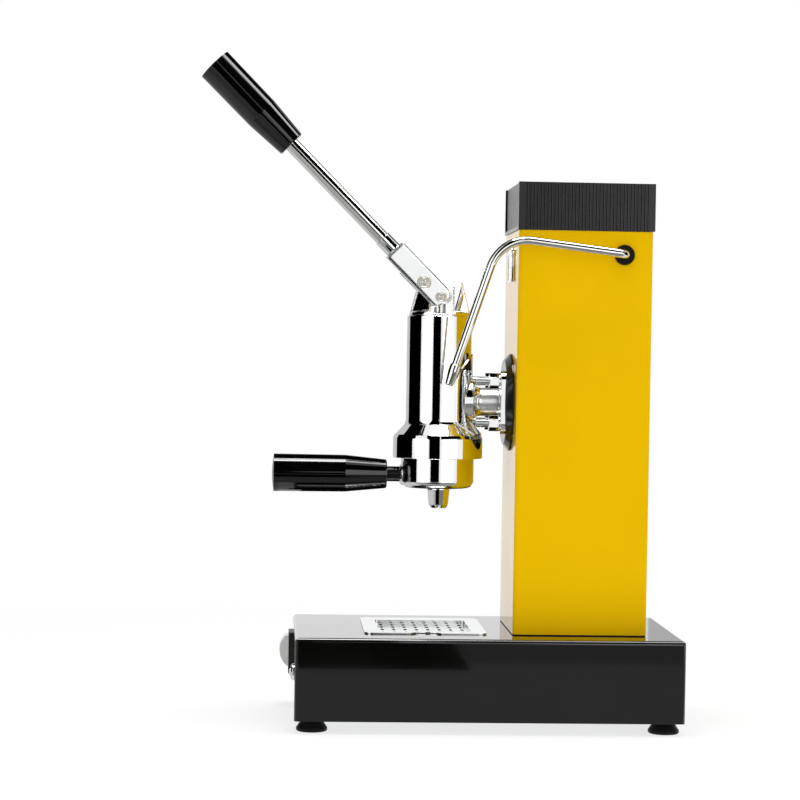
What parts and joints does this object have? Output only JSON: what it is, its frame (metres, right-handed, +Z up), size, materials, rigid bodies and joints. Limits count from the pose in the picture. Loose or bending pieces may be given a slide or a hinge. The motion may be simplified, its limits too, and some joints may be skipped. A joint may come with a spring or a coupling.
{
  "type": "lever espresso machine",
  "caption": "Upright lever espresso machine: square sheet column on a box base, spring lever group with bayonet portafilter, swinging steam wand and lift-out drip tray.",
  "frame": {"origin": "on the counter, on the vertical axis of the lever group, which is also the middle of the bounding box", "axes": "+Z up, the front faces -X, the steam wand hangs on the -Y side"},
  "size_m": [0.3687, 0.158, 0.5084],
  "materials": {
    "yellow_paint": "gloss",
    "black_paint": "gloss",
    "chrome": "polished",
    "steel": "satin",
    "brass": "machined",
    "copper": "satin",
    "rubber": "matte",
    "black_plastic": "gloss",
    "cap_plastic": "matte",
    "grey_plastic": "satin",
    "frosted_lens": "gloss"
  },
  "bodies": {
    "machine": {"base_shell": "black_paint", "base_plate": "steel", "feet": "rubber", "foot_screws": "steel", "column_shell": "yellow_paint", "column_seal": "rubber", "column_brackets": "steel", "bracket_screws": "steel", "insulating_disc": "rubber", "group_body": "chrome", "group_studs": "steel", "group_nuts": "chrome", "cylinder_liner": "brass", "group_gasket": "rubber", "shower_screen": "steel", "bonnet": "chrome", "main_spring": "steel", "boiler": "copper", "heating_element": "steel", "safety_valve": "brass", "pressure_switch": "steel", "steam_valve": "brass", "wand_grommet": "rubber", "spindle_bush": "rubber", "switch_frame": "cap_plastic", "lamp_bezel": "chrome", "lamp_lens": "frosted_lens", "tray_frame": "steel", "mains_inlet": "cap_plastic", "inlet_pins": "steel"},
    "lever": {"lever_fork": "chrome", "fulcrum_pin": "steel", "rod_pin": "steel", "lever_ferrule": "chrome", "lever_rod": "chrome", "lever_grip": "black_plastic"},
    "piston_group": {"piston": "brass", "piston_seals": "rubber", "piston_rod": "chrome"},
    "portafilter": {"portafilter_body": "chrome", "filter_basket": "steel", "basket_clip": "steel", "portafilter_neck": "black_paint", "portafilter_grip": "black_plastic", "spout": "chrome"},
    "wand": {"wand_pipe": "chrome", "wand_nozzle": "chrome"},
    "steam_control": {"steam_spindle": "steel", "steam_knob": "black_plastic"},
    "rocker_key": {"rocker": "grey_plastic"},
    "tray": {"drip_tray": "steel"},
    "drip_cover": {"drip_plate": "chrome"},
    "cap": {"top_cap": "cap_plastic"},
    "filler_lid": {"filler_cap": "black_plastic"}
  },
  "joints": [
    {"name": "lever_pivot", "type": "hinge", "parent": "machine", "child": "lever", "pos_m": [-0.01302, 0, 0.33533], "axis": [0, -1, 0], "range_deg": [0, 80], "stiffness_Nm_per_rad": 4, "springref_deg": -80.21},
    {"name": "piston_slide", "type": "slide", "parent": "machine", "child": "piston_group", "axis": [0, 0, 1], "range_m": [0, 0.02206], "deforming": ["main_spring"]},
    {"name": "portafilter_lock", "type": "hinge", "parent": "machine", "child": "portafilter", "pos_m": [0, 0, 0.2], "axis": [0, 0, -1], "range_deg": [0, 55]},
    {"name": "wand_swing", "type": "hinge", "parent": "machine", "child": "wand", "pos_m": [0.1346, -0.05, 0.3572], "axis": [0, 1, 0], "range_deg": [-20, 50]},
    {"name": "steam_turn", "type": "hinge", "parent": "machine", "child": "steam_control", "pos_m": [0.1346, 0.06, 0.3572], "axis": [0, 1, 0], "range_deg": [0, 360]},
    {"name": "rocker_tip", "type": "hinge", "parent": "machine", "child": "rocker_key", "pos_m": [-0.1111, 0.06, 0.0432], "axis": [0, 1, 0], "range_deg": [0, 26]},
    {"name": "tray_lift", "type": "slide", "parent": "machine", "child": "tray", "axis": [0, 0, 1], "range_m": [0, 0.04]},
    {"name": "drip_cover_lift", "type": "slide", "parent": "tray", "child": "drip_cover", "axis": [0, 0, 1], "range_m": [0, 0.03]},
    {"name": "cap_lift", "type": "slide", "parent": "machine", "child": "cap", "axis": [0, 0, 1], "range_m": [0, 0.06]},
    {"name": "filler_turn", "type": "hinge", "parent": "machine", "child": "filler_lid", "pos_m": [0.0917, 0, 0.38], "axis": [0, 0, 1], "range_deg": [0, 360]}
  ],
  "couplings": [
    {"joint": "piston_slide", "follows": "lever_pivot", "m_per_rad": 0.015652}
  ]
}
